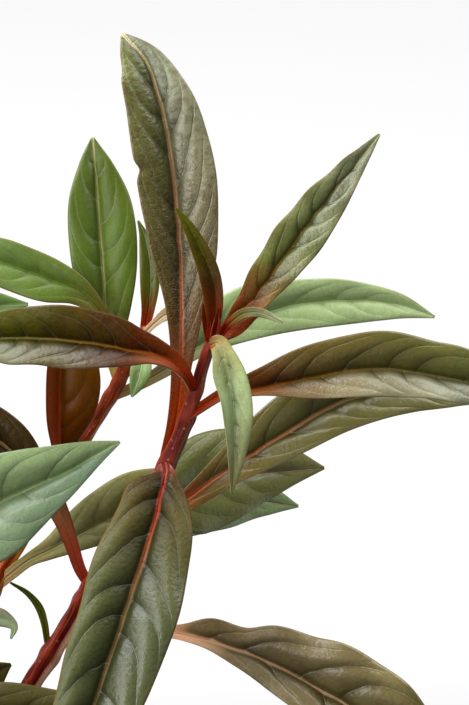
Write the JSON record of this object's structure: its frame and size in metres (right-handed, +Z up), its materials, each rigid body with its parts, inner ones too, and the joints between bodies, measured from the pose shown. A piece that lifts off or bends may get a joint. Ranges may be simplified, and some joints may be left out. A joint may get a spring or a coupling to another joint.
{
  "type": "potted ludwigia glandulosa",
  "caption": "Round nursery pot of compost with leaning red stems and spirally set, folded lance-shaped bronze-green leaves.",
  "frame": {"origin": "middle of the pot's flat base, on the surface it stands on", "axes": "+Z up; the pictured side is seen from -Y, with the tall shoots leaning towards +X and +Y"},
  "size_m": [0.2453, 0.1954, 0.2472],
  "materials": {
    "pot": "moulded satin, slightly dusty",
    "compost": "damp, crumbly peat and fine bark",
    "stem": "smooth, angular, crimson",
    "stem_back": "smooth, angular, orange brown",
    "leaf": "quilted, silvery sheen, bronze green with salmon midrib",
    "leaf_green": "quilted, satin, mid green with orange midrib",
    "leaf_pale": "quilted, satin, pale blue green"
  },
  "bodies": {
    "root": {"pot": "pot", "soil": "compost", "main_stem": "stem", "back_stem": "stem_back", "left_stem": "stem", "front_stem": "stem", "side_stem": "stem", "leaf_front_hanging": "leaf", "leaf_tall": "leaf", "leaf_left": "leaf", "leaf_upper_right": "leaf", "leaf_right": "leaf", "leaf_small_hanging": "leaf_green", "leaf_low_right": "leaf", "leaf_broad_behind": "leaf_green", "leaf_green_behind": "leaf_green", "leaf_inner": "leaf", "leaf_tiny": "leaf_green", "leaf_dark_left": "leaf", "leaf_thin_curved": "leaf_green", "leaf_lower_right": "leaf", "back_leaf_tall": "leaf_green", "back_leaf_left": "leaf_green", "back_leaf_small": "leaf", "back_leaf_short": "leaf", "back_leaf_hanging": "leaf_green", "back_leaf_right": "leaf_green", "back_leaf_brown": "leaf", "back_leaf_olive": "leaf_green", "left_leaf_broad": "leaf_pale", "left_leaf_upper": "leaf_pale", "left_leaf_curled": "leaf_green", "left_leaf_tip": "leaf_green", "left_leaf_corner": "leaf", "main_leaf_1": "leaf", "main_leaf_2": "leaf", "main_leaf_3": "leaf", "back_leaf_1": "leaf", "back_leaf_2": "leaf", "back_leaf_3": "leaf", "left_leaf_1": "leaf", "left_leaf_2": "leaf", "left_leaf_3": "leaf", "left_leaf_4": "leaf", "left_leaf_5": "leaf", "left_leaf_6": "leaf", "left_leaf_7": "leaf", "front_leaf_1": "leaf", "front_leaf_2": "leaf", "front_leaf_3": "leaf", "front_leaf_4": "leaf", "front_leaf_5": "leaf", "front_leaf_6": "leaf", "front_leaf_7": "leaf", "front_leaf_8": "leaf", "side_leaf_1": "leaf", "side_leaf_2": "leaf", "side_leaf_3": "leaf", "side_leaf_4": "leaf"}
  },
  "joints": []
}
